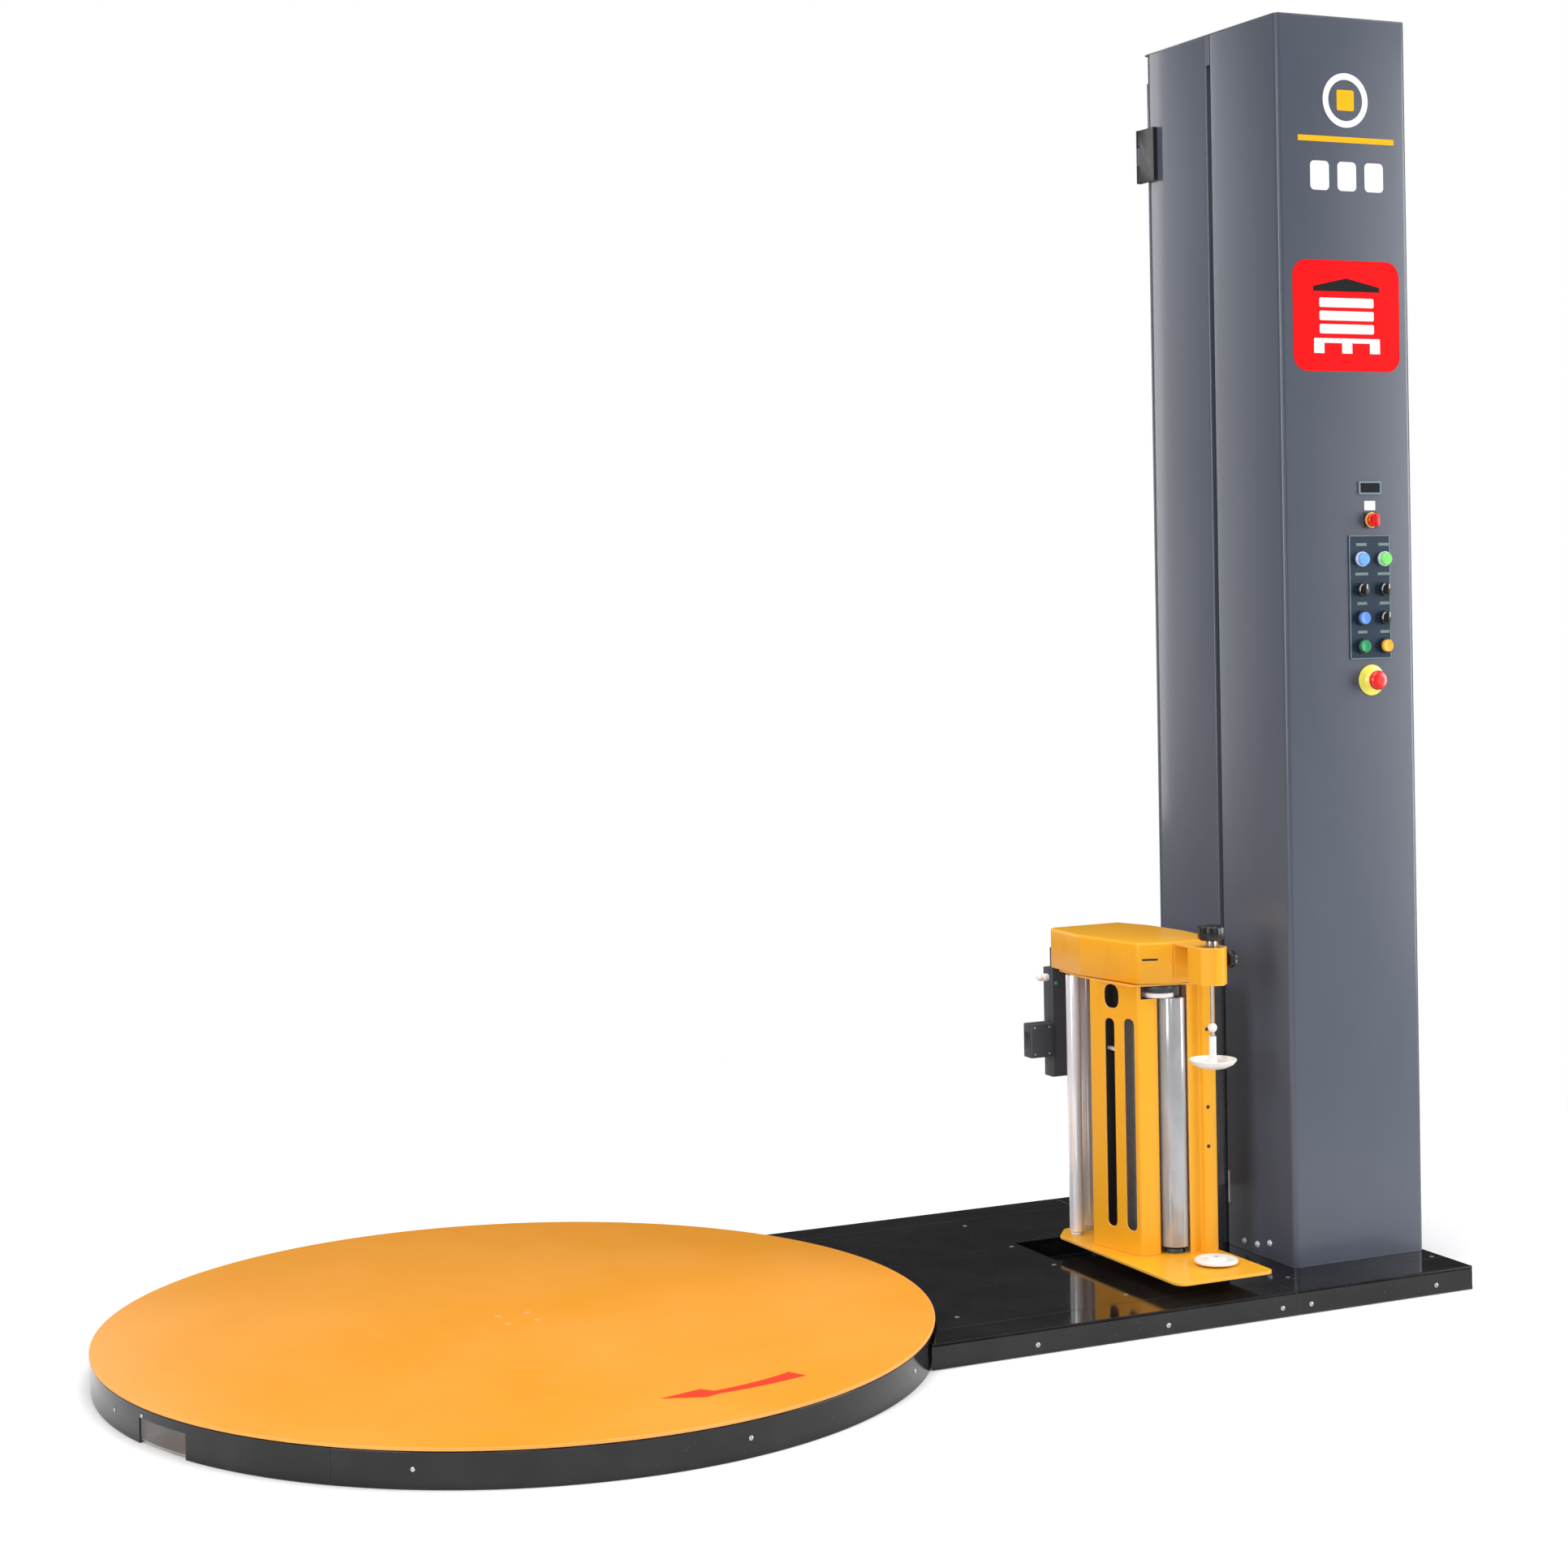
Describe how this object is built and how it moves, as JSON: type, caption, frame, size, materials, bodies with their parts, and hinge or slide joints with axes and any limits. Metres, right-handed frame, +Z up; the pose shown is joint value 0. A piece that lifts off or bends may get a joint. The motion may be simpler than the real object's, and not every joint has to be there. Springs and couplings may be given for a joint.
{
  "type": "turntable pallet wrapper",
  "caption": "Pallet wrapper with a low turntable, a deck, a tall mast with operator controls, and a film carriage that climbs the mast on a chain.",
  "frame": {"origin": "on the floor under the centre of the turntable", "axes": "+X from the turntable to the mast, +Y from the operator's side to the back, +Z up"},
  "size_m": [2.78, 1.65, 2.7],
  "materials": {
    "table_yellow": "smooth yellow-orange enamel, satin",
    "carriage_yellow": "yellow-orange powder coat, satin",
    "black_gloss": "gloss black paint",
    "mast_grey": "grey powder coat with a fine metallic grain",
    "steel": "bare machined steel",
    "chrome": "polished chrome",
    "grey_rubber": "smooth grey ground rubber",
    "white_nylon": "white nylon",
    "black_plastic": "black moulded plastic",
    "slate_plastic": "dark slate moulded plastic",
    "panel_blue": "dark blue panel film",
    "motor_grey": "grey painted casting",
    "signal_red": "red moulded plastic",
    "signal_yellow": "yellow moulded plastic",
    "button_blue": "blue moulded plastic",
    "button_green": "green moulded plastic",
    "button_amber": "amber moulded plastic",
    "lens_blue": "pale blue lit lens",
    "lens_green": "pale green lit lens"
  },
  "bodies": {
    "root": {"floor_plate": "black_gloss", "centre_pivot": "steel", "drive_gearmotor": "motor_grey", "drive_chain": "steel", "skirt_mast_side": "black_gloss", "skirt_back": "black_gloss", "skirt_left": "black_gloss", "skirt_front": "black_gloss", "side_rail_front": "black_gloss", "side_rail_back": "black_gloss", "deck_cover": "black_gloss", "end_rail": "black_gloss", "mast_front_shell": "mast_grey", "mast_back_shell": "mast_grey", "mast_side_panel": "mast_grey", "mast_cap": "mast_grey", "door_hinge_bottom": "black_plastic", "door_hinge_top": "black_plastic", "guide_column": "steel", "lift_chain": "steel", "lift_gearmotor": "motor_grey", "control_plate": "panel_blue", "stop_collar": "signal_yellow"},
    "table": {"turntable_plate": "table_yellow", "chain_ring": "steel"},
    "pinion": {"drive_sprocket": "steel"},
    "door": {"rear_door": "mast_grey"},
    "lift_wheel_low": {"lift_sprocket_bottom": "steel"},
    "lift_wheel_high": {"lift_sprocket_top": "steel"},
    "carriage": {"carriage_floor": "carriage_yellow", "carriage_side_panel": "carriage_yellow", "carriage_frame": "carriage_yellow", "carriage_hood": "carriage_yellow", "carriage_trolley": "steel", "film_arm": "carriage_yellow", "sensor_bracket": "slate_plastic", "photocell": "slate_plastic"},
    "stretch_front": {"stretch_roller_front": "grey_rubber"},
    "stretch_back": {"stretch_roller_back": "grey_rubber"},
    "idler_front": {"idler_roller_front": "chrome"},
    "idler_back": {"idler_roller_back": "chrome"},
    "film_seat": {"film_disc": "white_nylon"},
    "holder_rod": {"film_rod": "steel"},
    "holder_cone": {"film_cone": "white_nylon"},
    "clamp": {"clamp_knob": "black_plastic"},
    "main_switch": {"main_switch_handle": "signal_red"},
    "emergency_stop": {"stop_button": "signal_red"},
    "support_1": {"support_roller_1": "white_nylon"},
    "support_2": {"support_roller_2": "white_nylon"},
    "support_3": {"support_roller_3": "white_nylon"},
    "support_4": {"support_roller_4": "white_nylon"},
    "start_button_body": {"start_button": "lens_blue"},
    "lamp_button_body": {"lamp_button": "lens_green"},
    "pause_button_body": {"pause_button": "button_blue"},
    "cycle_button_body": {"cycle_button": "button_green"},
    "reset_button_body": {"reset_button": "button_amber"},
    "speed_knob_body": {"speed_knob": "black_plastic"},
    "tension_knob_body": {"tension_knob": "black_plastic"},
    "mode_knob_body": {"mode_knob": "black_plastic"}
  },
  "joints": [
    {"name": "turntable_spin", "type": "hinge", "parent": "root", "child": "table", "pos_m": [0, 0, 0.066], "axis": [0, 0, 1], "continuous": true},
    {"name": "support_roller_1_spin", "type": "hinge", "parent": "root", "child": "support_1", "pos_m": [0.46669, 0.46669, 0.0417], "axis": [0.7071, 0.7071, 0], "continuous": true},
    {"name": "support_roller_2_spin", "type": "hinge", "parent": "root", "child": "support_2", "pos_m": [-0.46669, 0.46669, 0.0417], "axis": [-0.7071, 0.7071, 0], "continuous": true},
    {"name": "support_roller_3_spin", "type": "hinge", "parent": "root", "child": "support_3", "pos_m": [-0.46669, -0.46669, 0.0417], "axis": [-0.7071, -0.7071, 0], "continuous": true},
    {"name": "support_roller_4_spin", "type": "hinge", "parent": "root", "child": "support_4", "pos_m": [0.46669, -0.46669, 0.0417], "axis": [0.7071, -0.7071, 0], "continuous": true},
    {"name": "drive_sprocket_spin", "type": "hinge", "parent": "root", "child": "pinion", "pos_m": [0.56, 0, 0.04], "axis": [0, 0, 1], "continuous": true},
    {"name": "carriage_lift", "type": "slide", "parent": "root", "child": "carriage", "axis": [0, 0, 1], "range_m": [0, 1.85]},
    {"name": "lift_sprocket_bottom_spin", "type": "hinge", "parent": "root", "child": "lift_wheel_low", "pos_m": [1.722, 0.005, 0.11], "axis": [0, 1, 0], "continuous": true},
    {"name": "lift_sprocket_top_spin", "type": "hinge", "parent": "root", "child": "lift_wheel_high", "pos_m": [1.722, 0.005, 2.61], "axis": [0, 1, 0], "continuous": true},
    {"name": "rear_door_swing", "type": "hinge", "parent": "root", "child": "door", "pos_m": [1.6085, 0.1945, 1.3], "axis": [0, 0, 1], "range_deg": [0, 110]},
    {"name": "start_button_press", "type": "slide", "parent": "root", "child": "start_button_body", "axis": [0, 1, 0], "range_m": [0, 0.003], "stiffness_N_per_m": 300},
    {"name": "lamp_button_press", "type": "slide", "parent": "root", "child": "lamp_button_body", "axis": [0, 1, 0], "range_m": [0, 0.003], "stiffness_N_per_m": 300},
    {"name": "pause_button_press", "type": "slide", "parent": "root", "child": "pause_button_body", "axis": [0, 1, 0], "range_m": [0, 0.003], "stiffness_N_per_m": 300},
    {"name": "cycle_button_press", "type": "slide", "parent": "root", "child": "cycle_button_body", "axis": [0, 1, 0], "range_m": [0, 0.003], "stiffness_N_per_m": 300},
    {"name": "reset_button_press", "type": "slide", "parent": "root", "child": "reset_button_body", "axis": [0, 1, 0], "range_m": [0, 0.003], "stiffness_N_per_m": 300},
    {"name": "speed_knob_turn", "type": "hinge", "parent": "root", "child": "speed_knob_body", "pos_m": [1.812, -0.3373, 1.481], "axis": [0, 1, 0], "range_deg": [-135, 135]},
    {"name": "tension_knob_turn", "type": "hinge", "parent": "root", "child": "tension_knob_body", "pos_m": [1.87, -0.3373, 1.481], "axis": [0, 1, 0], "range_deg": [-135, 135]},
    {"name": "mode_knob_turn", "type": "hinge", "parent": "root", "child": "mode_knob_body", "pos_m": [1.87, -0.3373, 1.42], "axis": [0, 1, 0], "range_deg": [-45, 45]},
    {"name": "main_switch_turn", "type": "hinge", "parent": "root", "child": "main_switch", "pos_m": [1.84, -0.3353, 1.629], "axis": [0, 1, 0], "range_deg": [0, 90]},
    {"name": "stop_button_press", "type": "slide", "parent": "root", "child": "emergency_stop", "axis": [0, 1, 0], "range_m": [0, 0.006]},
    {"name": "stretch_roller_front_spin", "type": "hinge", "parent": "carriage", "child": "stretch_front", "pos_m": [1.4, -0.205, 0.099], "axis": [0, 0, 1], "continuous": true},
    {"name": "stretch_roller_back_spin", "type": "hinge", "parent": "carriage", "child": "stretch_back", "pos_m": [1.42, -0.125, 0.099], "axis": [0, 0, 1], "continuous": true},
    {"name": "idler_roller_front_spin", "type": "hinge", "parent": "carriage", "child": "idler_front", "pos_m": [1.298, 0.028, 0.0925], "axis": [0, 0, 1], "continuous": true},
    {"name": "idler_roller_back_spin", "type": "hinge", "parent": "carriage", "child": "idler_back", "pos_m": [1.351, 0.062, 0.0925], "axis": [0, 0, 1], "continuous": true},
    {"name": "film_disc_spin", "type": "hinge", "parent": "carriage", "child": "film_seat", "pos_m": [1.414, -0.34, 0.087], "axis": [0, 0, 1], "continuous": true},
    {"name": "film_rod_slide", "type": "slide", "parent": "carriage", "child": "holder_rod", "axis": [0, 0, 1], "range_m": [0, 0.075]},
    {"name": "film_cone_spin", "type": "hinge", "parent": "holder_rod", "child": "holder_cone", "pos_m": [1.414, -0.34, 0.491], "axis": [0, 0, 1], "continuous": true},
    {"name": "clamp_knob_turn", "type": "hinge", "parent": "carriage", "child": "clamp", "pos_m": [1.446, -0.34, 0.7165], "axis": [1, 0, 0], "range_deg": [-180, 0]}
  ],
  "couplings": [
    {"joint": "support_roller_1_spin", "follows": "turntable_spin", "ratio": -27.5},
    {"joint": "support_roller_2_spin", "follows": "turntable_spin", "ratio": -27.5},
    {"joint": "support_roller_3_spin", "follows": "turntable_spin", "ratio": -27.5},
    {"joint": "support_roller_4_spin", "follows": "turntable_spin", "ratio": -27.5},
    {"joint": "drive_sprocket_spin", "follows": "turntable_spin", "ratio": 5},
    {"joint": "lift_sprocket_bottom_spin", "follows": "carriage_lift", "rad_per_m": 25},
    {"joint": "lift_sprocket_top_spin", "follows": "carriage_lift", "rad_per_m": 25},
    {"joint": "stretch_roller_back_spin", "follows": "stretch_roller_front_spin", "ratio": -0.6}
  ]
}
